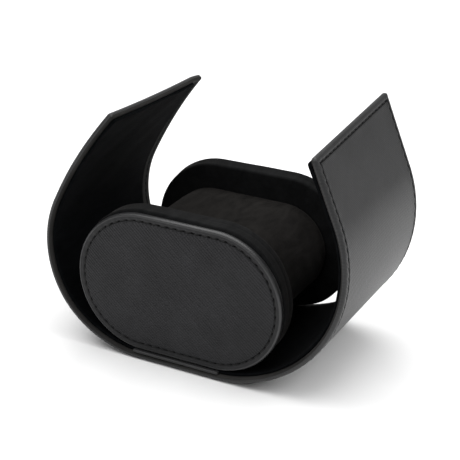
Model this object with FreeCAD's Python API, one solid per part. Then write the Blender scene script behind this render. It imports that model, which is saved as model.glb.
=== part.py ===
import FreeCAD, Part

import math
import os

# A travel case for one wristwatch. Two padded obround end caps stand on the flat middle of a
# leather wrap. The wrap's two flaps curve up beside the caps and close over them. A padded
# cushion sits between the caps and lifts out. Millimetres, +Z up, -Y is the front.
# The origin is the centre of the flat underside that the case stands on.

# --- End caps -------------------------------------------------------------------------------
CAP_WIDTH = 96.0
CAP_HEIGHT = 62.0
PANEL_LEATHER = 0.8
PANEL_FOAM = 0.7
PANEL_BOARD = 1.0
PANEL_RIM = 1.0
CASE_HALF_LENGTH = 38.5
FRONT_BODY_DEPTH = 10.0
REAR_BODY_DEPTH = 6.5
BODY_INSET = 1.2
BODY_COVER = 0.8
INNER_BOARD = 1.5
CAP_EDGE_ROUND = 0.6

# --- Cushion between the caps ---------------------------------------------------------------
CUSHION_WIDTH = 76.0
CUSHION_HEIGHT = 42.0
CUSHION_END_CLEARANCE = 0.4
CUSHION_COVER = 0.8
CUSHION_END = 1.2

# --- Wrap: leather outside, board in its middle, suede lining inside ------------------------
WRAP_HALF_WIDTH = 40.0
LEATHER_SKIN = 1.1
LEATHER_EDGE = 2.6
WRAP_THICKNESS = 3.9
BOARD_INSET = 7.0
BOARD_END_MARGIN = 2.0
LINING_FRONT_INSET = 1.5
LINING_REAR_INSET = 6.0
LINING_TIP_INSET = 1.5
FLAT_HALF = 17.6
LEFT_RADIUS = 45.0
LEFT_ANGLE = 115.0
LEFT_TIP_RADIUS = 198.0
LEFT_TIP_ANGLE = 15.0
RIGHT_RADIUS = 57.5
RIGHT_ANGLE = 113.0
RIGHT_TIP_STRAIGHT = 28.0

# --- Bending lines, as distances along the wrap from its centre line ------------------------
LEFT_LOWER_BEND = 49.6
LEFT_UPPER_BEND = 109.6
RIGHT_LOWER_BEND = 43.6
RIGHT_UPPER_BEND = 101.6
BEND_DEPTH = 2.2
BEND_GAP = 1.4

# --- Closing magnets and the tabs under the caps ---------------------------------------------
MAGNET_LENGTH = 18.0
MAGNET_WIDTH = 9.0
MAGNET_OFFSET = 17.0
MAGNET_FROM_TIP = 12.0
MAGNET_CLEARANCE = 0.1
TAB_HALF_LENGTH = 21.0
TAB_WIDTH = 5.2
TAB_CLEARANCE = 0.2

PANEL_DEPTH = PANEL_LEATHER + PANEL_FOAM + PANEL_BOARD
CAP_CENTRE_Z = WRAP_THICKNESS + CAP_HEIGHT / 2
PANEL_BACK_Y = CASE_HALF_LENGTH - PANEL_DEPTH
FRONT_INNER_Y = FRONT_BODY_DEPTH - PANEL_BACK_Y
REAR_INNER_Y = PANEL_BACK_Y - REAR_BODY_DEPTH
LEFT_ARC = LEFT_RADIUS * math.radians(LEFT_ANGLE)
RIGHT_ARC = RIGHT_RADIUS * math.radians(RIGHT_ANGLE)
LEFT_TIP = FLAT_HALF + LEFT_ARC + LEFT_TIP_RADIUS * math.radians(LEFT_TIP_ANGLE)
RIGHT_TIP = FLAT_HALF + RIGHT_ARC + RIGHT_TIP_STRAIGHT


def vec(x, y, z):
    return FreeCAD.Vector(x, y, z)


def arc_point(start, radius, turned, angle, depth):
    """Point on an arc that leaves start at the slope `turned`, after `angle` more (radians)."""
    centre_x = start[0] - radius * math.sin(turned)
    centre_z = start[1] + radius * math.cos(turned)
    slope = turned + angle
    x = centre_x + (radius - depth) * math.sin(slope)
    z = centre_z - (radius - depth) * math.cos(slope)
    return x, z


def wrap_point(distance, depth):
    """Point (x, z) of the open wrap: distance along its outside from the centre line, positive
    to the right, and depth inwards from the outside."""
    if abs(distance) <= FLAT_HALF:
        return distance, depth
    along = abs(distance) - FLAT_HALF
    if distance > 0:
        radius, turn = RIGHT_RADIUS, math.radians(RIGHT_ANGLE)
    else:
        radius, turn = LEFT_RADIUS, math.radians(LEFT_ANGLE)
    start = (FLAT_HALF, 0.0)
    if along <= radius * turn:
        x, z = arc_point(start, radius, 0.0, along / radius, depth)
    else:
        beyond = along - radius * turn
        end = arc_point(start, radius, 0.0, turn, 0.0)
        if distance > 0:
            x = end[0] + beyond * math.cos(turn) - depth * math.sin(turn)
            z = end[1] + beyond * math.sin(turn) + depth * math.cos(turn)
        else:
            x, z = arc_point(end, LEFT_TIP_RADIUS, turn, beyond / LEFT_TIP_RADIUS, depth)
    return math.copysign(x, distance), z


def wrap_edge(first, last, depth, y):
    """One straight or round edge of the wrap's section."""
    ends = [vec(px, y, pz) for px, pz in (wrap_point(first, depth), wrap_point(last, depth))]
    middle_x, middle_z = wrap_point((first + last) / 2, depth)
    middle = vec(middle_x, y, middle_z)
    if middle.distanceToLine(ends[0], ends[1] - ends[0]) < 1e-6:
        return Part.LineSegment(ends[0], ends[1]).toShape()
    return Part.Arc(ends[0], middle, ends[1]).toShape()


def wrap_strip(first, last, shallow, deep, y_low, y_high):
    """Solid strip of the wrap between two distances, two depths and two Y values."""
    joints = [-(FLAT_HALF + LEFT_ARC), -FLAT_HALF, FLAT_HALF, FLAT_HALF + RIGHT_ARC]
    stops = [first] + [j for j in joints if first < j < last] + [last]
    spans = list(zip(stops[:-1], stops[1:]))
    outer = [wrap_edge(a, b, shallow, y_low) for a, b in spans]
    inner = [wrap_edge(a, b, deep, y_low) for a, b in spans]
    sides = []
    for distance in (first, last):
        x0, z0 = wrap_point(distance, shallow)
        x1, z1 = wrap_point(distance, deep)
        sides.append(Part.LineSegment(vec(x0, y_low, z0), vec(x1, y_low, z1)).toShape())
    outline = Part.Wire(Part.__sortEdges__(outer + inner + sides))
    return Part.Face(outline).extrude(vec(0, y_high - y_low, 0))


def obround(width, height, y_low, y_high):
    """Obround prism along Y, centred on the caps' centre line."""
    radius = height / 2
    half = width / 2 - radius
    top = CAP_CENTRE_Z + radius
    bottom = CAP_CENTRE_Z - radius
    edges = [
        Part.LineSegment(vec(-half, y_low, bottom), vec(half, y_low, bottom)).toShape(),
        Part.Arc(vec(half, y_low, bottom), vec(half + radius, y_low, CAP_CENTRE_Z),
                 vec(half, y_low, top)).toShape(),
        Part.LineSegment(vec(half, y_low, top), vec(-half, y_low, top)).toShape(),
        Part.Arc(vec(-half, y_low, top), vec(-half - radius, y_low, CAP_CENTRE_Z),
                 vec(-half, y_low, bottom)).toShape(),
    ]
    return Part.Face(Part.Wire(edges)).extrude(vec(0, y_high - y_low, 0))


def rounded_at(shape, y, radius):
    """The shape with its outer edges in the plane y rounded."""
    edges = [e for e in shape.Edges if all(abs(v.Point.y - y) < 1e-6 for v in e.Vertexes)]
    return shape.makeFillet(radius, edges)


def mirrored(shape):
    """The same piece at the rear end."""
    return shape.mirror(vec(0, 0, 0), vec(0, 1, 0))


def tab_strip(clearance):
    """The leather tab under the front cap's edge, or the notch for it in the lining."""
    half = TAB_HALF_LENGTH + clearance
    return wrap_strip(-half, half, LEATHER_EDGE, WRAP_THICKNESS, -WRAP_HALF_WIDTH,
                      -WRAP_HALF_WIDTH + TAB_WIDTH + clearance)


def cap_pieces(body_depth):
    """An end cap's pieces at the front, from its outside face inwards. The rear cap is the same
    with a thinner body, and is mirrored."""
    face = -CASE_HALF_LENGTH
    back = -PANEL_BACK_Y
    inner = back + body_depth
    foam_y = face + PANEL_LEATHER
    board_y = foam_y + PANEL_FOAM
    rim_width = CAP_WIDTH - 2 * PANEL_RIM
    rim_height = CAP_HEIGHT - 2 * PANEL_RIM
    leather = rounded_at(obround(CAP_WIDTH, CAP_HEIGHT, face, back), face, CAP_EDGE_ROUND)
    leather = leather.cut(obround(rim_width, rim_height, foam_y, back))
    body_width = CAP_WIDTH - 2 * BODY_INSET
    body_height = CAP_HEIGHT - 2 * BODY_INSET
    core_width = body_width - 2 * BODY_COVER
    core_height = body_height - 2 * BODY_COVER
    cover_y = inner - BODY_COVER
    lining_y = cover_y - INNER_BOARD
    cover = rounded_at(obround(body_width, body_height, back, inner), inner, CAP_EDGE_ROUND)
    cover = cover.cut(obround(core_width, core_height, back, cover_y))
    return {
        "panel_leather": leather,
        "panel_foam": obround(rim_width, rim_height, foam_y, board_y),
        "panel_board": obround(rim_width, rim_height, board_y, back),
        "cap_core": obround(core_width, core_height, back, lining_y),
        "cap_inner_board": obround(core_width, core_height, lining_y, cover_y),
        "cap_suede": cover,
        "hinge_tab": tab_strip(0.0),
    }


def cushion_pieces():
    """The removable cushion: a foam block in a suede sleeve, closed by two end pieces."""
    first = FRONT_INNER_Y + CUSHION_END_CLEARANCE
    last = REAR_INNER_Y - CUSHION_END_CLEARANCE
    front_seam = first + CUSHION_END
    rear_seam = last - CUSHION_END
    inner_width = CUSHION_WIDTH - 2 * CUSHION_COVER
    inner_height = CUSHION_HEIGHT - 2 * CUSHION_COVER
    sleeve = obround(CUSHION_WIDTH, CUSHION_HEIGHT, front_seam, rear_seam)
    foam = obround(inner_width, inner_height, front_seam, rear_seam)
    front_end = obround(CUSHION_WIDTH, CUSHION_HEIGHT, first, front_seam)
    rear_end = obround(CUSHION_WIDTH, CUSHION_HEIGHT, rear_seam, last)
    return {
        "cushion_foam": foam,
        "cushion_sleeve": sleeve.cut(foam),
        "cushion_front_end": rounded_at(front_end, first, CUSHION_END * 0.8),
        "cushion_rear_end": rounded_at(rear_end, last, CUSHION_END * 0.8),
    }


def magnet_strips(centre, clearance):
    """The pair of flat magnets across a flap, as one shape."""
    half_length = MAGNET_WIDTH / 2 + clearance
    half_width = MAGNET_LENGTH / 2 + clearance
    pair = []
    for y in (-MAGNET_OFFSET, MAGNET_OFFSET):
        pair.append(wrap_strip(centre - half_length, centre + half_length, LEATHER_SKIN,
                               LEATHER_EDGE, y - half_width, y + half_width))
    return Part.makeCompound(pair)


def wrap_segment(name, first, last, tip=None):
    """Leather, board and lining of one stiff stretch of the wrap. tip is the end that is a
    free edge, or None where both ends meet a bending line."""
    width = WRAP_HALF_WIDTH
    board_first = first + (BOARD_INSET if tip == first else BOARD_END_MARGIN)
    board_last = last - (BOARD_INSET if tip == last else BOARD_END_MARGIN)
    lining_first = first + (LINING_TIP_INSET if tip == first else 0.0)
    lining_last = last - (LINING_TIP_INSET if tip == last else 0.0)
    board_y = width - BOARD_INSET
    board = wrap_strip(board_first, board_last, LEATHER_SKIN, LEATHER_EDGE, -board_y, board_y)
    leather = wrap_strip(first, last, 0.0, LEATHER_EDGE, -width, width).cut(board)
    lining = wrap_strip(lining_first, lining_last, LEATHER_EDGE, WRAP_THICKNESS,
                        LINING_FRONT_INSET - width, width - LINING_REAR_INSET)
    pieces = {name + "_leather": leather, name + "_lining": lining}
    if tip is not None:
        centre = tip - math.copysign(MAGNET_FROM_TIP, tip)
        board = board.cut(magnet_strips(centre, MAGNET_CLEARANCE))
        pieces[name + "_magnets"] = magnet_strips(centre, 0.0)
    pieces[name + "_board"] = board
    return pieces


def wrap_pieces():
    """The wrap in five stretches, with a bending line between each two."""
    gap = BEND_GAP / 2
    pieces = wrap_segment("base", -LEFT_LOWER_BEND + gap, RIGHT_LOWER_BEND - gap)
    pieces["base_lining"] = pieces["base_lining"].cut(tab_strip(TAB_CLEARANCE))
    pieces.update(wrap_segment("left_flap_lower", -LEFT_UPPER_BEND + gap,
                               -LEFT_LOWER_BEND - gap))
    pieces.update(wrap_segment("left_flap_upper", -LEFT_TIP, -LEFT_UPPER_BEND - gap, -LEFT_TIP))
    pieces.update(wrap_segment("right_flap_lower", RIGHT_LOWER_BEND + gap,
                               RIGHT_UPPER_BEND - gap))
    pieces.update(wrap_segment("right_flap_upper", RIGHT_UPPER_BEND + gap, RIGHT_TIP, RIGHT_TIP))
    return pieces


def case_pieces():
    pieces = wrap_pieces()
    for name, shape in cap_pieces(FRONT_BODY_DEPTH).items():
        pieces["front_" + name] = shape
    for name, shape in cap_pieces(REAR_BODY_DEPTH).items():
        pieces["rear_" + name] = mirrored(shape)
    pieces.update(cushion_pieces())
    return pieces


def bend_lines():
    """The bending lines' places in the XZ plane, for the joints."""
    bends = {"left_lower": -LEFT_LOWER_BEND, "left_upper": -LEFT_UPPER_BEND,
             "right_lower": RIGHT_LOWER_BEND, "right_upper": RIGHT_UPPER_BEND}
    return {name: wrap_point(distance, BEND_DEPTH) for name, distance in bends.items()}


def main():
    os.makedirs("parts", exist_ok=True)
    for name, shape in case_pieces().items():
        shape.exportStep(os.path.join("parts", name + ".step"))
        print(name, "valid", shape.isValid(), "solids", len(shape.Solids), round(shape.Volume, 1))
    for name, (x, z) in bend_lines().items():
        print("bending line", name, round(x, 3), round(z, 3))


main()
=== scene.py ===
import math

import bmesh
import bpy
import numpy as np
from mathutils import Matrix, Vector


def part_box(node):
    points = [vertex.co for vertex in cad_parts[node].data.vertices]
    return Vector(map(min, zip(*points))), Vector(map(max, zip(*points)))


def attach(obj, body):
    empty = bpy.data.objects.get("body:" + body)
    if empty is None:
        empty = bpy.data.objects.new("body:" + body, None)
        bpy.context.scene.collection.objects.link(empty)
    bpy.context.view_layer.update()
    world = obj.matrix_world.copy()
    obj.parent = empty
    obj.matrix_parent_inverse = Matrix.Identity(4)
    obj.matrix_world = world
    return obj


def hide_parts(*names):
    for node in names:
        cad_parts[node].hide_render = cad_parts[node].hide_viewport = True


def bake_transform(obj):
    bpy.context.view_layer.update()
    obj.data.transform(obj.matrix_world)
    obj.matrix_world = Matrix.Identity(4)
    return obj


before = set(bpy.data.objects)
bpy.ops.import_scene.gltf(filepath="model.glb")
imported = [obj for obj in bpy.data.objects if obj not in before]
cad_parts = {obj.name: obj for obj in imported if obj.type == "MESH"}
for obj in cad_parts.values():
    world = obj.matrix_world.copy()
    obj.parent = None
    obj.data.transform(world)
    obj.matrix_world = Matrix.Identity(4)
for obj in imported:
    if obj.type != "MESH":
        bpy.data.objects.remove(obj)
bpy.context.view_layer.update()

MM = 0.001

# ------------------------------------------------------------------ sizes, from the frame
panel_low, panel_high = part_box("front_panel_leather")
cushion_low, cushion_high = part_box("cushion_sleeve")
cushion_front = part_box("cushion_front_end")[0].y
cushion_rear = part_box("cushion_rear_end")[1].y
lining_low, lining_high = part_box("left_flap_lower_lining")
tab_low, tab_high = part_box("front_hinge_tab")

CAP_CENTRE_Z = (panel_low.z + panel_high.z) / 2
CAP_RADIUS = (panel_high.z - panel_low.z) / 2
CAP_HALF_STRAIGHT = panel_high.x - CAP_RADIUS
WRAP_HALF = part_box("base_leather")[1].y
LINING_FRONT = lining_low.y
LINING_REAR = lining_high.y

# The wrap's curve, as the CAD part has it: a flat middle, then one arc on each side, and at the
# tips a flatter arc on the left and a straight end on the right.
FLAT_HALF = 17.6 * MM
LEFT_RADIUS = 45.0 * MM
LEFT_TURN = math.radians(115.0)
LEFT_TIP_RADIUS = 198.0 * MM
LEFT_TIP_TURN = math.radians(15.0)
RIGHT_RADIUS = 57.5 * MM
RIGHT_TURN = math.radians(113.0)
RIGHT_TIP_STRAIGHT = 28.0 * MM
LEATHER_DEPTH = 2.6 * MM
WRAP_DEPTH = 3.9 * MM
LINING_TIP_INSET = 1.5 * MM
LEFT_TIP = FLAT_HALF + LEFT_RADIUS * LEFT_TURN + LEFT_TIP_RADIUS * LEFT_TIP_TURN
RIGHT_TIP = FLAT_HALF + RIGHT_RADIUS * RIGHT_TURN + RIGHT_TIP_STRAIGHT
LOWER_BEND = {-1: 49.6 * MM, 1: 43.6 * MM}
UPPER_BEND = {-1: 109.6 * MM, 1: 101.6 * MM}
TIP = {-1: LEFT_TIP, 1: RIGHT_TIP}
SIDE_NAME = {-1: "left", 1: "right"}

# The hand-made wrap is cut a little askew: towards the rear the left flap is shorter, and the
# right flap is longer and leans in. The left flap's end is hollow in its middle.
SKEW = {-1: -4.6 * MM, 1: 5.3 * MM}
SKEW_START = 0.58
HOLLOW = {-1: -1.6 * MM, 1: 0.0}
LEAN = 1.15 * MM
LEAN_START = 16.0 * MM
LEAN_FULL = 50.0 * MM
# The left flap bows outwards, and its rear margin, beyond its board, curls inwards.
BOW = 0.95 * MM
BOW_START = 30.0 * MM
BOW_FULL = 65.0 * MM
BOW_EASE_START = 120.0 * MM
BOW_EASE_END = 160.0 * MM
BOW_EASE = 0.5
MARGIN_START = 33.0 * MM
MARGIN_CURL = 0.5 * MM

# Sewing
STITCH_PITCH = 3.9 * MM
STITCH_INSET = 2.9 * MM
STITCH_LENGTH = 0.78
# Each stitch is five points: places as shares of its half length, and how far each sinks in, in mm.
STITCH_SHAPE = ((-1, 0.35), (-0.6, 0.1), (0, 0.0), (0.6, 0.1), (1, 0.35))
THREAD_RADIUS = 0.33 * MM
THREAD_SIDES = 6
OUTER_THREAD_DEPTH = 0.12 * MM
INNER_THREAD_DEPTH = LEATHER_DEPTH - 0.06 * MM
PANEL_THREAD_DEPTH = 0.3 * MM
SEAM_HALF_WIDTH = 0.42 * MM
PANEL_SEAM_HALF_WIDTH = 0.3 * MM
GROOVE_DEPTH = 0.36 * MM
GROOVE_WIDTH = 0.5 * MM
PUCKER = 0.2 * MM
PUCKER_WIDTH = 1.5 * MM
SHEET_CORNER = 2.0 * MM
DENSE_MARGIN = 5.5 * MM
LINING_LIFT = {-1: 0.09 * MM, 1: 0.9 * MM}
HATCH_ANGLE = math.radians(40)


# ------------------------------------------------------------------ mesh helpers
def mesh_object(name, points, faces, material, uv=None, weld=None):
    """A smooth-shaded mesh object. uv is one pair per point. Points closer than weld are joined."""
    mesh = bpy.data.meshes.new(name)
    mesh.from_pydata([tuple(p) for p in points], [], [tuple(f) for f in faces])
    if uv is not None:
        layer = mesh.uv_layers.new(name="sheet_mm")
        loops = np.zeros(len(mesh.loops), dtype=np.int32)
        mesh.loops.foreach_get("vertex_index", loops)
        layer.data.foreach_set("uv", np.asarray(uv, np.float32)[loops].ravel())
    work = bmesh.new()
    work.from_mesh(mesh)
    if weld is not None:
        bmesh.ops.remove_doubles(work, verts=work.verts, dist=weld)
        thin = [f for f in work.faces if f.calc_area() < 1e-13]
        bmesh.ops.delete(work, geom=thin, context="FACES")
    bmesh.ops.recalc_face_normals(work, faces=work.faces)
    for face in work.faces:
        face.smooth = True
    for edge in work.edges:
        if len(edge.link_faces) == 2 and edge.calc_face_angle(0.0) > math.radians(50):
            edge.smooth = False
    work.to_mesh(mesh)
    work.free()
    mesh.materials.append(material)
    piece = bpy.data.objects.new(name, mesh)
    bpy.context.scene.collection.objects.link(piece)
    return piece


def grid_faces(rows, columns, offset=0, closed=False):
    """Quads of a grid of rows by columns of points; closed joins the last column to the first."""
    faces = []
    last = columns if closed else columns - 1
    for i in range(rows - 1):
        for j in range(last):
            k = (j + 1) % columns
            a = offset + i * columns + j
            b = offset + i * columns + k
            faces.append((a, b, b + columns, a + columns))
    return faces


def smooth_step(values):
    t = np.clip(values, 0.0, 1.0)
    return t * t * (3 - 2 * t)


def edge_spacing(low, high, step, round_radius, free_low, free_high, dense=None):
    """Positions from low to high: close together round the free edges and near the seams."""
    quarter = [round_radius * (1 - math.cos(math.radians(a))) for a in (0, 18, 36, 54, 72, 90)]
    start = [low + q for q in quarter] if free_low else [low]
    finish = [high - q for q in reversed(quarter)] if free_high else [high]
    middle = []
    position = start[-1]
    while position < finish[0]:
        near = min(position - low if free_low else 1.0, high - position if free_high else 1.0)
        position += dense if dense and near < DENSE_MARGIN else step
        middle.append(position)
    middle = [m for m in middle if m < finish[0] - 0.3 * (dense or step)]
    return np.array(start + middle + finish)


def round_corner(a, b, radius):
    """Moves distances a, b from two free edges so that the corner between them is round."""
    u = np.clip((radius - a) / radius, 0, 1)
    v = np.clip((radius - b) / radius, 0, 1)
    u_round = u * np.sqrt(1 - v * v / 2)
    v_round = v * np.sqrt(1 - u * u / 2)
    return a + (u - u_round) * radius, b + (v - v_round) * radius


# ------------------------------------------------------------------ the wrap's curve
def wrap_curve(distance):
    """Point (x, z) on the outside of the wrap, and the slope there, for signed distances."""
    sign = np.where(distance >= 0, 1.0, -1.0)
    along = np.maximum(np.abs(distance) - FLAT_HALF, 0.0)
    flat = np.minimum(np.abs(distance), FLAT_HALF)
    radius = np.where(sign > 0, RIGHT_RADIUS, LEFT_RADIUS)
    turn = np.where(sign > 0, RIGHT_TURN, LEFT_TURN)
    angle = np.minimum(along / radius, turn)
    beyond = np.maximum(along - radius * turn, 0.0)
    tip_turn = np.where(sign > 0, 0.0, beyond / LEFT_TIP_RADIUS)
    x = flat + radius * np.sin(angle)
    z = radius * (1 - np.cos(angle))
    straight = sign > 0
    tip_x = LEFT_TIP_RADIUS * (np.sin(turn + tip_turn) - np.sin(turn))
    tip_z = LEFT_TIP_RADIUS * (np.cos(turn) - np.cos(turn + tip_turn))
    x = x + np.where(straight, beyond * np.cos(turn), tip_x)
    z = z + np.where(straight, beyond * np.sin(turn), tip_z)
    return sign * x, z, sign, angle + tip_turn


def wrap_place(distance, y, depth):
    """3-D points of the wrap for distances along it, Y values and depths below its outside."""
    distance, y, depth = np.broadcast_arrays(distance, y, depth)
    side = np.where(distance >= 0, 1.0, -1.0)
    tip = np.where(side > 0, RIGHT_TIP, LEFT_TIP)
    share = (y + WRAP_HALF) / (2 * WRAP_HALF)
    towards_tip = smooth_step((np.abs(distance) / tip - SKEW_START) / (1 - SKEW_START))
    skew = np.where(side > 0, SKEW[1], SKEW[-1])
    hollow = np.where(side > 0, HOLLOW[1], HOLLOW[-1]) * 4 * share * (1 - share)
    reach = np.abs(distance)
    leaning = smooth_step((reach - LEAN_START) / (LEAN_FULL - LEAN_START))
    margin = smooth_step((y - MARGIN_START) / (WRAP_HALF - MARGIN_START))
    right_in = LEAN * share * leaning
    easing = smooth_step((reach - BOW_EASE_START) / (BOW_EASE_END - BOW_EASE_START))
    bow = smooth_step((reach - BOW_START) / (BOW_FULL - BOW_START)) * (1 - BOW_EASE * easing)
    moved = distance + side * (skew * share + hollow) * towards_tip
    left_in = MARGIN_CURL * margin * bow - BOW * bow * (1 - margin)
    inward = depth + np.where(side > 0, right_in, left_in)
    x, z, sign, slope = wrap_curve(moved)
    x = x - sign * np.sin(slope) * inward
    z = z + np.cos(slope) * inward
    return np.stack([x, y, z], axis=-1)


# ------------------------------------------------------------------ materials
def new_material(name):
    material = bpy.data.materials.new(name)
    material.use_nodes = True
    tree = material.node_tree
    shader = tree.nodes["Principled BSDF"]
    return material, tree, shader


def add(tree, kind, settings=None, **inputs):
    """A new node. settings are its own values; inputs are sockets, given a value or a link."""
    node = tree.nodes.new(kind)
    for key, value in (settings or {}).items():
        setattr(node, key, value)
    for key, value in inputs.items():
        key = key.replace("_", " ")
        socket = node.inputs[int(key[1:])] if key[0] == "i" and key[1:].isdigit() else node.inputs[key]
        if isinstance(value, bpy.types.NodeSocket):
            tree.links.new(value, socket)
        else:
            socket.default_value = value
    return node


def coordinates(tree, sheet):
    """Coordinates in millimetres: along the sheet where it has them, or else the object's."""
    if sheet:
        source = add(tree, "ShaderNodeUVMap", {"uv_map": "sheet_mm"}).outputs["UV"]
    else:
        source = add(tree, "ShaderNodeTexCoord").outputs["Object"]
    scaled = add(tree, "ShaderNodeVectorMath", {"operation": "SCALE"}, i0=source, Scale=1000.0)
    return scaled.outputs["Vector"]


def ramp(tree, factor, low, high, low_color, high_color):
    node = add(tree, "ShaderNodeMapRange", None, Value=factor, From_Min=low, From_Max=high)
    mix = add(tree, "ShaderNodeMix", {"data_type": "RGBA"}, Factor=node.outputs["Result"])
    mix.inputs[6].default_value = (*low_color, 1)
    mix.inputs[7].default_value = (*high_color, 1)
    return mix.outputs[2]


def math_node(tree, operation, first, second=0.0):
    return add(tree, "ShaderNodeMath", {"operation": operation}, i0=first, i1=second).outputs[0]


def leather_material(name, dark, light, roughness, gloss, sheet, hatch=None, contrast=1.0):
    """Black leather: a pebbled grain, or a pressed diagonal hatch, with uneven colour and gloss. The
    hatch also darkens the colour in its grooves and lightens it on its ridges, as painted shade and
    light.
    """
    material, tree, shader = new_material(name)
    at = coordinates(tree, sheet)
    cells = add(tree, "ShaderNodeTexVoronoi", {"feature": "SMOOTH_F1"}, Vector=at, Scale=1.5)
    cells.inputs["Smoothness"].default_value = 0.35
    fine = add(tree, "ShaderNodeTexNoise", None, Vector=at, Scale=3.2, Detail=6.0)
    broad = add(tree, "ShaderNodeTexNoise", None, Vector=at, Scale=0.06, Detail=3.0)
    height = math_node(tree, "ADD", math_node(tree, "MULTIPLY", cells.outputs["Distance"], 0.7),
                       math_node(tree, "MULTIPLY", fine.outputs["Fac"], 0.45))
    if hatch:
        flat = at
        if sheet:
            parts = add(tree, "ShaderNodeSeparateXYZ", None, Vector=at)
            flat = add(tree, "ShaderNodeCombineXYZ", None, X=parts.outputs["X"],
                       Z=parts.outputs["Y"]).outputs["Vector"]
        waves = []
        for angle, weight in ((-HATCH_ANGLE, 1.0), (HATCH_ANGLE, 0.4)):
            turned = add(tree, "ShaderNodeMapping", None, Vector=flat)
            turned.inputs["Rotation"].default_value = (0, angle, 0)
            split = add(tree, "ShaderNodeSeparateXYZ", None, Vector=turned.outputs["Vector"])
            streak_at = add(tree, "ShaderNodeVectorMath", {"operation": "MULTIPLY"},
                            i0=turned.outputs["Vector"], i1=(0.16, 0.16, 1.0))
            streaks = add(tree, "ShaderNodeTexNoise", None, Vector=streak_at.outputs["Vector"],
                          Scale=1.1 / hatch, Detail=3.0)
            wobble = math_node(tree, "MULTIPLY", streaks.outputs["Fac"], 0.5 * hatch)
            phase = math_node(tree, "MULTIPLY",
                              math_node(tree, "ADD", split.outputs["Z"], wobble),
                              2 * math.pi / hatch)
            wave = math_node(tree, "ADD", math_node(tree, "SINE", phase),
                             math_node(tree, "MULTIPLY", streaks.outputs["Fac"], 4.0))
            waves.append(math_node(tree, "MULTIPLY", wave, weight))
        height = math_node(tree, "ADD", math_node(tree, "MULTIPLY", height, 0.5),
                           math_node(tree, "ADD", waves[0], waves[1]))
    color = ramp(tree, broad.outputs["Fac"], 0.35, 0.65, dark, light)
    # The hatch's height scales the colour: painted shade in its grooves and painted light on its
    # ridges.
    if hatch:
        hatch_painted_shade = add(tree, "ShaderNodeMapRange", None, Value=height, From_Min=0.4, From_Max=4.2,
                     To_Min=1 - 0.6 * contrast, To_Max=1 + 0.6 * contrast)
        color = add(tree, "ShaderNodeVectorMath", {"operation": "SCALE"}, i0=color,
                    Scale=hatch_painted_shade.outputs["Result"]).outputs["Vector"]
    tree.links.new(color, shader.inputs["Base Color"])
    worn = add(tree, "ShaderNodeMapRange", None, Value=fine.outputs["Fac"], From_Min=0.3,
               From_Max=0.7, To_Min=roughness - 0.06, To_Max=roughness + 0.08)
    tree.links.new(worn.outputs["Result"], shader.inputs["Roughness"])
    bump = add(tree, "ShaderNodeBump", None, Height=height, Strength=1.0,
               Distance=(0.05 * contrast if hatch else 0.05) * MM)
    tree.links.new(bump.outputs["Normal"], shader.inputs["Normal"])
    shader.inputs["Specular IOR Level"].default_value = gloss
    return material


def suede_material(name, dark, light, sheet, nap=1.0, sheen=0.25, gloss=0.06):
    """Microsuede: short nap, brushed patches and a soft sheen."""
    material, tree, shader = new_material(name)
    at = coordinates(tree, sheet)
    nap_noise = add(tree, "ShaderNodeTexNoise", None, Vector=at, Scale=3.5 / nap, Detail=8.0,
                    Roughness=0.75)
    stretched = add(tree, "ShaderNodeVectorMath", {"operation": "MULTIPLY"}, i0=at,
                    i1=(1.0, 0.35, 1.0))
    patches = add(tree, "ShaderNodeTexNoise", None, Vector=stretched.outputs["Vector"], Scale=0.24,
                  Detail=6.0, Distortion=0.8)
    mixed = math_node(tree, "ADD", math_node(tree, "MULTIPLY", nap_noise.outputs["Fac"], 0.75),
                      math_node(tree, "MULTIPLY", patches.outputs["Fac"], 0.5))
    tree.links.new(ramp(tree, mixed, 0.46, 0.80, dark, light), shader.inputs["Base Color"])
    shader.inputs["Roughness"].default_value = 0.95
    shader.inputs["Specular IOR Level"].default_value = gloss
    shader.inputs["Sheen Weight"].default_value = sheen
    shader.inputs["Sheen Roughness"].default_value = 0.45
    shader.inputs["Sheen Tint"].default_value = (0.55, 0.52, 0.5, 1)
    bump = add(tree, "ShaderNodeBump", None, Height=nap_noise.outputs["Fac"], Strength=1.0,
               Distance=0.12 * MM)
    tree.links.new(bump.outputs["Normal"], shader.inputs["Normal"])
    return material


def grained_material(name, dark, light, roughness, scale, height=0.03, metallic=0.0):
    """A plain material with an even speckle, for thread, boards, foam and magnets."""
    material, tree, shader = new_material(name)
    at = coordinates(tree, False)
    noise = add(tree, "ShaderNodeTexNoise", None, Vector=at, Scale=scale, Detail=5.0)
    tree.links.new(ramp(tree, noise.outputs["Fac"], 0.35, 0.65, dark, light),
                   shader.inputs["Base Color"])
    shader.inputs["Roughness"].default_value = roughness
    shader.inputs["Metallic"].default_value = metallic
    bump = add(tree, "ShaderNodeBump", None, Height=noise.outputs["Fac"], Strength=1.0,
               Distance=height * MM)
    tree.links.new(bump.outputs["Normal"], shader.inputs["Normal"])
    return material


WRAP_LEATHER = leather_material("wrap_leather", (0.0095, 0.0095, 0.010), (0.014, 0.014, 0.0145),
                                0.44, 0.40, sheet=True, hatch=0.9, contrast=0.45)
PANEL_LEATHER = leather_material("panel_leather", (0.0075, 0.0075, 0.0083),
                                 (0.011, 0.011, 0.0121), 0.52, 0.22, sheet=False, hatch=1.15)
RIM_LEATHER = leather_material("rim_leather", (0.0075, 0.0075, 0.0082), (0.011, 0.011, 0.0118),
                               0.42, 0.24, sheet=False)
# The edge leather is paler than the panel's: a painted highlight along the panels' rounded rims.
EDGE_HIGHLIGHT_LEATHER = leather_material("edge_leather_painted_highlight", (0.012, 0.012, 0.0125), (0.022, 0.022, 0.023),
                                0.36, 0.50, sheet=False)
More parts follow.
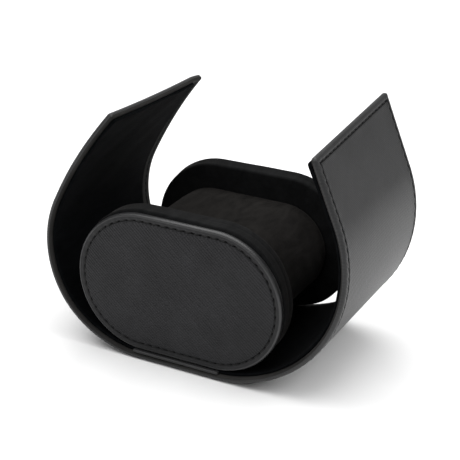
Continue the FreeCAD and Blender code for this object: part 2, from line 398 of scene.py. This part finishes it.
# The seam material's near-black colour is painted shade in the stitch grooves.
SEAM_SHADE_LEATHER = leather_material("seam_leather_painted_shade", (0.0015, 0.0015, 0.0017), (0.003, 0.003, 0.0032),
                                0.7, 0.08, sheet=False)
MARGIN_LEATHER = leather_material("margin_leather", (0.012, 0.0115, 0.0110), (0.022, 0.0210, 0.020),
                                  0.75, 0.15, sheet=False)
LINING_SUEDE = suede_material("lining_suede", (0.0010, 0.0013, 0.0016), (0.0040, 0.0044, 0.0050),
                              sheet=True, sheen=0.01, gloss=0.02)
CAP_SUEDE = suede_material("cap_suede", (0.0030, 0.0032, 0.0034), (0.0105, 0.0108, 0.0112),
                           sheet=False, sheen=0.06)
CUSHION_SUEDE = suede_material("cushion_suede", (0.0014, 0.0013, 0.0012), (0.0135, 0.0125, 0.0116),
                               sheet=False, nap=1.2, sheen=0.05)
THREAD = grained_material("thread", (0.0018, 0.0018, 0.0018), (0.0035, 0.0035, 0.0035), 0.85, 4.0)
BOARD = grained_material("grey_board", (0.30, 0.28, 0.24), (0.38, 0.36, 0.32), 0.85, 2.0)
FOAM = grained_material("foam", (0.20, 0.20, 0.20), (0.32, 0.32, 0.32), 0.95, 1.6, height=0.2)
MAGNET = grained_material("magnet", (0.55, 0.55, 0.57), (0.65, 0.65, 0.67), 0.3, 1.0, 0.01, 1.0)


# ------------------------------------------------------------------ sheets of the wrap
def edge_distances(along, across, spec):
    """Distance of each grid point from the nearest free edge, and its place along that edge."""
    sides = [(across - spec["y_low"], along), (spec["y_high"] - across, along)]
    if spec["free_low"]:
        sides.append((along - spec["low"], across))
    if spec["free_high"]:
        sides.append((spec["high"] - along, across))
    near = np.minimum.reduce([d for d, _ in sides])
    place = np.zeros_like(near)
    for d, p in sides:
        place = np.where(d == near, p, place)
    return near, place


def sewn_depth(near, place, seam_inset, amount):
    """How far sewing pulls the surface in at the seam, and lets it swell between the stitches."""
    groove = np.exp(-(((near - seam_inset) / GROOVE_WIDTH) ** 2))
    swell = np.exp(-(((near - seam_inset) / PUCKER_WIDTH) ** 2))
    beat = np.cos(np.pi * place / STITCH_PITCH) ** 2
    return amount * (GROOVE_DEPTH * groove * (0.55 + 0.45 * beat) - PUCKER * swell * (1 - beat))


def sheet_slab(name, spec, material):
    """A closed sheet of the wrap with round edges. spec gives its limits along and across the
    wrap, its shallow and deep faces, which ends are free, and how its two faces are shaped."""
    radius = (spec["deep"] - spec["shallow"]) / 2
    along = edge_spacing(spec["low"], spec["high"], spec["step"], radius, spec["free_low"],
                         spec["free_high"], spec.get("dense_along"))
    across = edge_spacing(spec["y_low"], spec["y_high"], spec["step_across"], radius, True, True,
                          spec.get("dense"))
    grid_along, grid_across = np.meshgrid(along, across, indexing="ij")
    near, place = edge_distances(grid_along, grid_across, spec)
    share = np.clip(near / radius, 0, 1)
    half = radius * np.sqrt(np.maximum(1 - (1 - share) ** 2, 0))
    corner = spec.get("corner", SHEET_CORNER)
    for end, free in (("low", spec["free_low"]), ("high", spec["free_high"])):
        if not free:
            continue
        sign = 1 if end == "low" else -1
        for y_end, y_sign in (("y_low", 1), ("y_high", -1)):
            a = sign * (grid_along - spec[end])
            b = y_sign * (grid_across - spec[y_end])
            a_round, b_round = round_corner(a, b, corner)
            grid_along = np.where((a < corner) & (b < corner), spec[end] + sign * a_round,
                                  grid_along)
            grid_across = np.where((a < corner) & (b < corner), spec[y_end] + y_sign * b_round,
                                   grid_across)
    middle = (spec["shallow"] + spec["deep"]) / 2
    shape = spec.get("shape")
    outside, inside = (0.0, 0.0) if shape is None else shape(near, place, grid_along, grid_across)
    fade = np.clip(near / (0.6 * radius), 0, 1)
    faces_points = [
        wrap_place(grid_along, grid_across, middle - half + outside * fade),
        wrap_place(grid_along, grid_across, middle + half + inside * fade),
    ]
    rows, columns = grid_along.shape
    points = np.concatenate([f.reshape(-1, 3) for f in faces_points])
    uv = np.concatenate([np.stack([grid_along, grid_across], -1).reshape(-1, 2)] * 2)
    size = rows * columns
    faces = grid_faces(rows, columns) + grid_faces(rows, columns, size)
    for row, free in ((0, spec["free_low"]), (rows - 1, spec["free_high"])):
        if free:
            continue
        for j in range(columns - 1):
            a = row * columns + j
            faces.append((a, a + 1, a + 1 + size, a + size))
    return mesh_object(name, points, faces, material, uv, weld=2e-6)


def thread_tubes(name, paths, ups):
    """One mesh of many stitches. Each path is five points; ups are the surface normals."""
    points = []
    faces = []
    scales = (0.55, 0.95, 1.0, 0.95, 0.55)
    for path, up in zip(paths, ups):
        path = np.asarray(path)
        direction = path[-1] - path[0]
        direction = direction / np.linalg.norm(direction)
        sideways = np.cross(direction, up)
        sideways = sideways / np.linalg.norm(sideways)
        start = len(points)
        for centre, scale in zip(path, scales):
            for k in range(THREAD_SIDES):
                turn = 2 * math.pi * k / THREAD_SIDES
                ring = sideways * math.cos(turn) + np.asarray(up) * math.sin(turn)
                points.append(centre + ring * THREAD_RADIUS * scale)
        faces += grid_faces(len(path), THREAD_SIDES, start, closed=True)
        last = start + (len(path) - 1) * THREAD_SIDES
        for first in (start, last):
            faces.append(tuple(range(first, first + THREAD_SIDES)))
    return mesh_object(name, points, faces, THREAD)


def seam_stitches(low, high, point_at):
    """Stitch paths between two places along a seam. point_at(place, sink) gives a point."""
    half = STITCH_PITCH * STITCH_LENGTH / 2
    paths = []
    for index in range(math.ceil(low / STITCH_PITCH), math.floor(high / STITCH_PITCH)):
        centre = (index + 0.5) * STITCH_PITCH
        paths.append([point_at(centre + step * half, sink * MM) for step, sink in STITCH_SHAPE])
    return paths


def wrap_seams(spec, depth, inward):
    """Stitch paths and normals for one sheet, on its outside (inward -1) or inside (+1)."""
    low = spec["low"] + (STITCH_INSET if spec["free_low"] else 0.0)
    high = spec["high"] - (STITCH_INSET if spec["free_high"] else 0.0)
    seam_y = WRAP_HALF - STITCH_INSET
    sign = 1 if high > 0 else -1
    tip = sign * TIP[sign]
    along_wrap = wrap_place(tip, 0.0, 0.0) - wrap_place(tip - sign * MM, 0.0, 0.0)
    seams = []
    for y in (-seam_y, seam_y):
        side = seam_stitches(low, high, lambda distance, sink, y=y:
                             wrap_place(distance, y, depth - inward * sink))
        seams += [(path, (0.0, 1.0, 0.0)) for path in side]
    for free, distance in ((spec["free_low"], low), (spec["free_high"], high)):
        if free:
            end = seam_stitches(-seam_y, seam_y, lambda y, sink, distance=distance:
                                wrap_place(distance, y, depth - inward * sink))
            seams += [(path, along_wrap) for path in end]
    ups = []
    for path, across in seams:
        up = np.cross(path[-1] - path[0], across)
        ups.append(up / np.linalg.norm(up))
    return [path for path, across in seams], ups


def leather_shape(near, place, along, across):
    """The leather's outside is drawn in by the sewing; so is its inside margin, less so."""
    outside = sewn_depth(near, place, STITCH_INSET, 1.0)
    inside = -sewn_depth(near, place, STITCH_INSET, 0.5)
    return outside, inside


def lining_shape(near, place, along, across):
    """The suede lining: faint waves, wrinkles near the tips, and lifting off the leather near the
    front of the right tip, and hardly at the left one."""
    waves = 0.10 * MM * np.sin(along / (7.3 * MM) + 2.1 * np.sin(across / (15 * MM)))
    waves += 0.07 * MM * np.sin(across / (5.1 * MM) + along / (11 * MM))
    wrinkles = smooth_step((np.abs(along) - 95 * MM) / (40 * MM)) * 0.14 * MM
    waves += wrinkles * np.sin((along + 0.6 * across) / (2.9 * MM)) * np.sin(across / (9 * MM))
    lift = np.where(along > 0, LINING_LIFT[1], LINING_LIFT[-1])
    lift = lift * smooth_step((np.abs(along) - 105 * MM) / (45 * MM))
    lift = lift * smooth_step((-across / WRAP_HALF + 0.2) / 1.1)
    return lift, lift + waves


def finish_leather(leather, spec):
    """Gives the stitch line's groove a near-black leather, painted shade in the groove, and the
    margins inside a paler one.
    """
    leather.data.materials.append(SEAM_SHADE_LEATHER)
    leather.data.materials.append(MARGIN_LEATHER)
    corners = leather.data.uv_layers["sheet_mm"].data
    for polygon in leather.data.polygons:
        places = [corners[i].uv for i in polygon.loop_indices]
        along = np.array(sum(p.x for p in places) / len(places))
        across = np.array(sum(p.y for p in places) / len(places))
        near = edge_distances(along, across, spec)[0]
        sign, slope = wrap_curve(along)[2:]
        inwards = Vector((-sign * math.sin(slope), 0, math.cos(slope)))
        # Faces in the stitch groove get the painted shade.
        if abs(near - STITCH_INSET) < SEAM_HALF_WIDTH:
            polygon.material_index = 1
        elif polygon.normal.dot(inwards) > 0.3:
            polygon.material_index = 2


def wrap_section(side, part):
    """Limits of the two sheets of one side: 'low' crosses the lower bend, 'high' the upper."""
    middle = (LOWER_BEND[side] + UPPER_BEND[side]) / 2
    start, finish = (0.0, middle) if part == "low" else (middle, TIP[side])
    low, high = (start, finish) if side > 0 else (-finish, -start)
    return {
        "low": low, "high": high, "step": 0.65 * MM, "step_across": 1.6 * MM, "dense": 0.42 * MM,
        "dense_along": 0.42 * MM,
        "free_low": side < 0 and part == "high", "free_high": side > 0 and part == "high",
    }


def bend_with_flap(piece):
    """Bakes the piece's placement into its mesh."""
    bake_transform(piece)


def make_wrap():
    for side in (-1, 1):
        for part in ("low", "high"):
            label = SIDE_NAME[side] + "_wrap_" + part
            flap = SIDE_NAME[side] + "_flap_"
            if part == "low":
                nodes = [flap + "lower_"] + (["base_"] if side < 0 else [])
            else:
                nodes = [flap + "upper_"]
            section = wrap_section(side, part)
            leather_spec = dict(section, y_low=-WRAP_HALF, y_high=WRAP_HALF, shallow=0.0,
                                deep=LEATHER_DEPTH, shape=leather_shape)
            leather = sheet_slab(label + "_leather", leather_spec, WRAP_LEATHER)
            finish_leather(leather, leather_spec)
            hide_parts(*[n + "leather" for n in nodes])
            outer = wrap_seams(leather_spec, OUTER_THREAD_DEPTH, -1)
            inner = wrap_seams(leather_spec, INNER_THREAD_DEPTH, 1)
            stitches = thread_tubes(label + "_stitches", outer[0] + inner[0], outer[1] + inner[1])
            low = section["low"] + (LINING_TIP_INSET if section["free_low"] else 0.0)
            high = section["high"] - (LINING_TIP_INSET if section["free_high"] else 0.0)
            lining_spec = dict(section, low=low, high=high, y_low=LINING_FRONT,
                               y_high=LINING_REAR, shallow=LEATHER_DEPTH, deep=WRAP_DEPTH,
                               step=1.2 * MM, dense=0.8 * MM, dense_along=0.8 * MM,
                               shape=lining_shape)
            lining = sheet_slab(label + "_lining", lining_spec, LINING_SUEDE)
            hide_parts(*[n + "lining" for n in nodes])
            for piece in (leather, stitches, lining):
                bend_with_flap(piece)


def make_tabs():
    """The leather tabs between the wrap and the caps, at both ends."""
    for end, sign in (("front", 1), ("rear", -1)):
        rows = sorted((sign * tab_low.y, sign * tab_high.y))
        spec = {"low": tab_low.x, "high": tab_high.x, "y_low": rows[0], "y_high": rows[1],
                "shallow": LEATHER_DEPTH, "deep": WRAP_DEPTH, "step": 0.8 * MM,
                "step_across": 0.8 * MM, "free_low": True, "free_high": True, "corner": 1.0 * MM}
        tab = sheet_slab(end + "_tab", spec, WRAP_LEATHER)
        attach(tab, "case_base")
        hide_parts(end + "_hinge_tab")


# ------------------------------------------------------------------ obround solids
ARC_STEPS = 112
FLAT_STEPS = 44
PANEL_EDGE = 1.0 * MM
PANEL_CROWN = 0.7 * MM
FRONT_BODY_EDGE = 1.9 * MM
REAR_BODY_EDGE = 1.1 * MM
# How far the bodies' suede stands above the panels' rims at the top. The rear one's crest grows
# towards its right end.
FRONT_CREST = 1.1 * MM
REAR_CREST = 2.1 * MM
REAR_CREST_RISE = 0.7 * MM
BODY_RIM_GAP = 0.15 * MM
BODY_WAVE = 0.06 * MM
BODY_FOLD = 0.18 * MM


def obround_ring(radius, half_straight, offset):
    """Points (x, z) of an obround about the caps' centre line, offset inwards, starting at the
    middle of the right end. The first half goes over the top."""
    r = radius - offset
    ring = []
    quarter = ARC_STEPS // 2
    for k in range(quarter):
        angle = math.pi / 2 * k / quarter
        ring.append((half_straight + r * math.cos(angle), r * math.sin(angle)))
    for k in range(FLAT_STEPS):
        ring.append((half_straight * (1 - 2 * k / FLAT_STEPS), r))
    for k in range(quarter):
        angle = math.pi / 2 + math.pi / 2 * k / quarter
        ring.append((-half_straight + r * math.cos(angle), r * math.sin(angle)))
    return np.array(ring + [(-x, -z) for x, z in ring])


def ring_lengths(ring):
    """Distance along the ring at each of its points, and the whole length."""
    steps = np.linalg.norm(np.roll(ring, -1, axis=0) - ring, axis=1)
    return np.concatenate([[0], np.cumsum(steps)[:-1]]), steps.sum()


def obround_solid(name, radius, half_straight, profile, material, mirror=False, detail=None):
    """A closed solid swept from a profile of (offset, y) pairs. Its first and last rings are
    filled. detail(offset, place, total, points) may move the points."""
    rings = []
    for offset, y in profile:
        ring = obround_ring(radius, half_straight, offset)
        flat = np.stack([ring[:, 0], np.full(len(ring), y), ring[:, 1] + CAP_CENTRE_Z], -1)
        if detail is not None:
            place, total = ring_lengths(obround_ring(radius, half_straight, STITCH_INSET))
            flat = detail(offset, place, total, flat)
        rings.append(flat)
    columns = len(rings[0])
    points = np.concatenate(rings)
    if mirror:
        points[:, 1] = -points[:, 1]
    faces = grid_faces(len(rings), columns, closed=True)
    for start in (0, (len(rings) - 1) * columns):
        for k in range(1, columns // 2):
            a, b = k, k + 1
            c, d = columns - k - 1, columns - k
            if b == c:
                faces.append((start + a, start + b, start + d))
            elif k < columns // 2:
                faces.append((start + a, start + b, start + c, start + d))
        faces.append((start, start + 1, start + columns - 1))
    return mesh_object(name, points, faces, material)


def cap_limits(node, mirror):
    """The node's Y limits, counted from the outside of its end of the case inwards."""
    low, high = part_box(node)
    return (-high.y, -low.y) if mirror else (low.y, high.y)


def make_cap(end, mirror):
    """One end cap: the facing panel with its seam, and the suede-covered body behind it."""
    face, back = cap_limits(end + "_panel_leather", mirror)
    profile = [(0.9 * CAP_RADIUS, back), (0.5 * CAP_RADIUS, back), (0.5 * MM, back),
               (0.15 * MM, back - 0.15 * MM), (0.0, back - 0.5 * MM)]
    for degrees in (0, 15, 30, 45, 60, 75, 90):
        turn = math.radians(degrees)
        profile.append((PANEL_EDGE * (1 - math.cos(turn)),
                        face + PANEL_EDGE * (1 - math.sin(turn))))
    offset = PANEL_EDGE
    while offset < 0.97 * CAP_RADIUS:
        offset += 0.23 * MM if offset < 5 * MM else 1.3 * MM
        crown = PANEL_CROWN * (1 - math.exp(-max(offset - STITCH_INSET, 0) / (4 * MM)))
        profile.append((min(offset, 0.975 * CAP_RADIUS), face - crown + 0.15 * MM))

    def sew(offset, place, total, points):
        if points[0, 1] > face + 0.9 * PANEL_EDGE:
            return points
        pitch = total / round(total / STITCH_PITCH)
        near = np.full(len(points), offset)
        points[:, 1] += sewn_depth(near, place / pitch * STITCH_PITCH, STITCH_INSET, 1.35)
        return points

    panel = obround_solid(end + "_panel", CAP_RADIUS, CAP_HALF_STRAIGHT, profile, PANEL_LEATHER,
                          mirror, sew)
    for material in (SEAM_SHADE_LEATHER, RIM_LEATHER, EDGE_HIGHLIGHT_LEATHER):
        panel.data.materials.append(material)
    for polygon in panel.data.polygons:
        x, y, z = polygon.center
        around = math.hypot(max(abs(x) - CAP_HALF_STRAIGHT, 0), z - CAP_CENTRE_Z)
        offset = CAP_RADIUS - around
        # Faces in the panel's stitch groove get the painted shade.
        if abs(offset - STITCH_INSET) < PANEL_SEAM_HALF_WIDTH:
            polygon.material_index = 1
        # The rounded rim gets the paler leather, a painted highlight.
        elif offset < 0.95 * PANEL_EDGE:
            polygon.material_index = 3
        elif offset < STITCH_INSET:
            polygon.material_index = 2
    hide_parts(end + "_panel_leather")
    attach(panel, "case_base")
    make_panel_stitches(end, mirror, face)
    make_cap_body(end, mirror)


def make_panel_stitches(end, mirror, face):
    ring = obround_ring(CAP_RADIUS, CAP_HALF_STRAIGHT, STITCH_INSET)
    place, total = ring_lengths(ring)
    count = round(total / STITCH_PITCH)
    pitch = total / count
    closed = np.vstack([ring, ring[:1]])
    places = np.append(place, total)
    paths = []
    for index in range(count):
        centre = (index + 0.5) * pitch
        half = pitch * STITCH_LENGTH / 2
        path = []
        for step, sink in STITCH_SHAPE:
            at = (centre + step * half) % total
            x = np.interp(at, places, closed[:, 0])
            z = np.interp(at, places, closed[:, 1]) + CAP_CENTRE_Z
            y = face + PANEL_THREAD_DEPTH + sink * MM
            path.append(np.array([x, -y if mirror else y, z]))
        paths.append(path)
    up = np.array([0.0, 1.0 if mirror else -1.0, 0.0])
    stitches = thread_tubes(end + "_panel_stitches", paths, [up] * len(paths))
    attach(stitches, "case_base")


def rightward(points):
    """-1 at the cap's left end, 1 at its right end."""
    return np.clip(points[:, 0] / (CAP_HALF_STRAIGHT + 0.5 * CAP_RADIUS), -1, 1)


def make_cap_body(end, mirror):
    """The body behind the panel. Its padded suede swells above the panel's rim at the top, more so
    on the rear cap, is about level with it at the sides, and stays clear of the wrap below."""
    body_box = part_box(end + "_cap_suede")
    inset = body_box[0].z - panel_low.z
    radius = CAP_RADIUS - inset
    back, inner = cap_limits(end + "_cap_suede", mirror)
    edge = REAR_BODY_EDGE if mirror else FRONT_BODY_EDGE
    profile = [(0.9 * radius, back), (0.5 * radius, back), (0.3 * MM, back), (0.0, back + 0.3 * MM)]
    wall = inner - edge - back - 0.3 * MM
    steps = max(int(wall / (0.45 * MM)), 4)
    for k in range(1, steps):
        profile.append((0.0, back + 0.3 * MM + wall * k / steps))
    for degrees in range(0, 91, 10):
        turn = math.radians(degrees)
        profile.append((edge * (1 - math.cos(turn)), inner - edge * (1 - math.sin(turn))))
    offset = edge
    while offset < 0.96 * radius:
        offset += 1.5 * MM
        profile.append((min(offset, 0.97 * radius), inner))

    def soften(offset, place, total, points):
        outward = points - np.array([0, 0, CAP_CENTRE_Z])
        outward[:, 0] -= np.clip(outward[:, 0], -CAP_HALF_STRAIGHT, CAP_HALF_STRAIGHT)
        outward[:, 1] = 0
        outward /= np.maximum(np.linalg.norm(outward, axis=1), 1e-6)[:, None]
        depth = points[:, 1] - back
        on_wall = 1.0 if offset < edge else max(0.0, 1 - (offset - edge) / (6 * MM))
        rise = smooth_step(depth / (1.1 * MM)) * on_wall
        swell = smooth_step((outward[:, 2] + 0.8) / 0.9)
        crest = smooth_step((outward[:, 2] - 0.15) / 0.8)
        wave = np.sin(place / (9 * MM) + depth / (3 * MM))
        wave += 0.6 * np.sin(place / (3.7 * MM) - depth / (2 * MM))
        fold_at = 0.52 * (inner - back) + 0.5 * MM * np.sin(place / (14 * MM))
        fold = np.exp(-(((depth - fold_at) / (0.4 * MM)) ** 2))
        fold *= smooth_step(0.5 + np.sin(place / (23 * MM) + 1.1))
        if mirror:
            # The rear body also fills out low on its right. Its crest slopes down inwards.
            swell += smooth_step(-outward[:, 2] / 0.3) * smooth_step((outward[:, 0] - 0.3) / 0.4)
            sloping = 1 - 0.65 * smooth_step(depth / (inner - back))
            crest *= (REAR_CREST + REAR_CREST_RISE * rightward(points)) * sloping
        else:
            swell = 0.35 + 0.65 * swell
            crest *= FRONT_CREST
        amount = (inset - BODY_RIM_GAP) * swell + crest
        amount += BODY_WAVE * wave - BODY_FOLD * fold * on_wall
        return points + outward * (amount * rise)[:, None]

    body = obround_solid(end + "_cap_body", radius, CAP_HALF_STRAIGHT, profile, CAP_SUEDE, mirror,
                         soften)
    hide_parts(end + "_cap_suede")
    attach(body, "case_base")


# ------------------------------------------------------------------ the cushion
CUSHION_INSET = 0.15 * MM
CUSHION_EDGE = 1.5 * MM
CUSHION_STEPS = 30
CUSHION_VOXEL = 1.3 * MM
CUSHION_SEAM = 3.0 * MM
CUSHION_SWELL = 1.3 * MM
CREASE_DEPTH = 0.13 * MM
SLACK_DEPTH = 0.2 * MM


def make_cushion():
    """The lift-out cushion: a stuffed suede sleeve, swollen by cloth simulation."""
    radius = (cushion_high.z - cushion_low.z) / 2
    half_straight = cushion_high.x - radius
    front = cushion_front + CUSHION_INSET
    rear = cushion_rear - CUSHION_INSET
    wall = rear - front - 2 * CUSHION_EDGE
    profile = [(0.9 * radius, front), (0.5 * radius, front)]
    for degrees in range(0, 91, 15):
        turn = math.radians(degrees)
        profile.append((CUSHION_INSET + CUSHION_EDGE * (1 - math.sin(turn)),
                        front + CUSHION_EDGE * (1 - math.cos(turn))))
    for k in range(1, CUSHION_STEPS):
        profile.append((CUSHION_INSET, front + CUSHION_EDGE + wall * k / CUSHION_STEPS))
    for degrees in range(90, -1, -15):
        turn = math.radians(degrees)
        profile.append((CUSHION_INSET + CUSHION_EDGE * (1 - math.sin(turn)),
                        rear - CUSHION_EDGE * (1 - math.cos(turn))))
    profile += [(0.5 * radius, rear), (0.9 * radius, rear)]
    cushion = obround_solid("cushion", radius, half_straight, profile, CUSHION_SUEDE)
    swell_cushion(cushion, front, rear)
    wrinkle_cushion(cushion, front, rear, half_straight)
    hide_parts("cushion_sleeve", "cushion_front_end", "cushion_rear_end")
    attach(cushion, "cushion")


def apply_modifier(piece, modifier):
    bpy.context.view_layer.objects.active = piece
    for other in bpy.context.selected_objects:
        other.select_set(False)
    piece.select_set(True)
    bpy.ops.object.modifier_apply(modifier=modifier.name)


def swell_cushion(cushion, front, rear):
    """Fills the cushion with pressure while its end seams hold, then limits how far it moved."""
    remesh = cushion.modifiers.new("remesh", "REMESH")
    remesh.mode = "VOXEL"
    remesh.voxel_size = CUSHION_VOXEL
    apply_modifier(cushion, remesh)
    rest = np.array([v.co for v in cushion.data.vertices])
    seam = cushion.vertex_groups.new(name="seam")
    for vertex in cushion.data.vertices:
        if not front + CUSHION_SEAM < vertex.co.y < rear - CUSHION_SEAM:
            seam.add([vertex.index], 1.0, "REPLACE")
    cloth = cushion.modifiers.new("cloth", "CLOTH")
    cloth.settings.use_pressure = True
    cloth.settings.uniform_pressure_force = 4.0
    cloth.settings.vertex_group_mass = "seam"
    cloth.settings.effector_weights.gravity = 0.0
    cloth.settings.tension_stiffness = 12
    cloth.settings.bending_stiffness = 0.4
    cloth.settings.quality = 6
    cloth.collision_settings.use_collision = False
    scene = bpy.context.scene
    for frame_number in range(1, 21):
        scene.frame_set(frame_number)
    graph = bpy.context.evaluated_depsgraph_get()
    swollen = np.array([v.co for v in cushion.evaluated_get(graph).data.vertices])
    scene.frame_set(1)
    cushion.modifiers.remove(cloth)
    move = swollen - rest
    length = np.linalg.norm(move, axis=1)
    limited = CUSHION_SWELL * np.tanh(length / CUSHION_SWELL)
    scale = np.where(length > 1e-9, limited / np.maximum(length, 1e-9), 0)
    cushion.data.vertices.foreach_set("co", (rest + move * scale[:, None]).ravel())
    cushion.data.update()
    smooth = cushion.modifiers.new("smooth", "SUBSURF")
    smooth.levels = 1
    apply_modifier(cushion, smooth)


def wrinkle_cushion(cushion, front, rear, half_straight):
    """Small creases in the nap, running round the cushion and fading towards its middle."""
    points = np.array([v.co for v in cushion.data.vertices])
    x, y, z = points[:, 0], points[:, 1], points[:, 2] - CAP_CENTRE_Z
    outward = np.stack([x - np.clip(x, -half_straight, half_straight), 0 * y, z], -1)
    outward /= np.maximum(np.linalg.norm(outward, axis=1), 1e-6)[:, None]
    from_end = np.minimum(y - front, rear - y)
    side = np.clip(2 * from_end / (rear - front), 0, 1)
    on_wall = smooth_step(from_end / (4 * MM))
    turn = np.arctan2(z, x)
    crease = np.sin(y / (1.6 * MM) + 2.2 * np.sin(turn * 5 + 1.0) + 1.3 * np.sin(turn * 11))
    crease *= np.clip(np.sin(turn * 7 + 0.6) * 0.7 + 0.5, 0, 1) * (1 - 0.55 * side)
    slack = np.sin(y / (6.5 * MM) + 1.4 * np.sin(turn * 3)) * np.sin(turn * 4 + 0.4)
    move = (CREASE_DEPTH * crease + SLACK_DEPTH * slack) * on_wall
    cushion.data.vertices.foreach_set("co", (points + outward * move[:, None]).ravel())
    cushion.data.update()
    cushion.data.shade_smooth()


# ------------------------------------------------------------------ inner CAD pieces
def finish_inner_nodes():
    """Materials for the CAD pieces that stay as they are, inside the case."""
    for name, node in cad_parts.items():
        if name.endswith("_board"):
            material = BOARD
        elif name.endswith("_magnets"):
            material = MAGNET
        else:
            material = FOAM
        node.data.materials.clear()
        node.data.materials.append(material)


# ------------------------------------------------------------------ floor, light and camera
def make_floor():
    material, tree, shader = new_material("floor")
    at = coordinates(tree, False)
    noise = add(tree, "ShaderNodeTexNoise", None, Vector=at, Scale=0.02, Detail=2.0)
    tree.links.new(ramp(tree, noise.outputs["Fac"], 0.3, 0.7, (0.86, 0.86, 0.86), (0.9, 0.9, 0.9)),
                   shader.inputs["Base Color"])
    shader.inputs["Roughness"].default_value = 0.9
    shader.inputs["Specular IOR Level"].default_value = 0.1
    size = 8.0
    steps = 24
    below = 0.2 * MM
    points = []
    for i in range(steps + 1):
        for j in range(steps + 1):
            points.append(((i / steps - 0.5) * size, (j / steps - 0.5) * size, -below))
    floor = mesh_object("floor", points, grid_faces(steps + 1, steps + 1), material)


def area_light(name, place, target, size, power):
    data = bpy.data.lights.new(name, "AREA")
    data.shape = "RECTANGLE"
    data.size, data.size_y = size
    data.energy = power
    light = bpy.data.objects.new(name, data)
    light.location = place
    light.rotation_mode = "QUATERNION"
    aim = Vector(target) - Vector(place)
    light.rotation_quaternion = aim.to_track_quat("-Z", "Y")
    bpy.context.scene.collection.objects.link(light)


def make_light():
    world = bpy.data.worlds.new("studio")
    world.use_nodes = True
    background = world.node_tree.nodes["Background"]
    background.inputs["Color"].default_value = (1, 1, 1, 1)
    background.inputs["Strength"].default_value = 0.25
    bpy.context.scene.world = world
    area_light("top", (-0.18, 0.05, 0.95), (0, 0, 0.03), (1.6, 1.4), 19.0)
    area_light("front", (0.0, -1.0, 0.75), (0, -0.3, 0.0), (1.4, 0.6), 2.3)
    area_light("right", (0.80, 0.15, 0.80), (0.03, 0, 0.06), (0.7, 0.6), 5.4)


def make_camera():
    azimuth = math.radians(27.09)
    elevation = math.radians(23.03)
    roll = math.radians(1.44)
    distance = 0.576
    target = Vector((6.64, -4.45, 52.09)) * MM
    back = Vector((math.sin(azimuth) * math.cos(elevation),
                   -math.cos(azimuth) * math.cos(elevation), math.sin(elevation)))
    right = Vector((math.cos(azimuth), math.sin(azimuth), 0))
    up = back.cross(right)
    turned_right = right * math.cos(roll) + up * math.sin(roll)
    turned_up = up * math.cos(roll) - right * math.sin(roll)
    data = bpy.data.cameras.new("camera")
    data.sensor_width = 36.0
    data.lens = 105.98
    data.clip_start = 0.01
    data.dof.use_dof = False
    camera = bpy.data.objects.new("camera", data)
    turn = Matrix((turned_right, turned_up, back)).transposed().to_4x4()
    camera.matrix_world = Matrix.Translation(target + back * distance) @ turn
    bpy.context.scene.collection.objects.link(camera)
    bpy.context.scene.camera = camera


finish_inner_nodes()
make_wrap()
make_tabs()
make_cap("front", False)
make_cap("rear", True)
make_cushion()
make_floor()
make_light()
make_camera()
bpy.context.scene.view_settings.view_transform = "Standard"
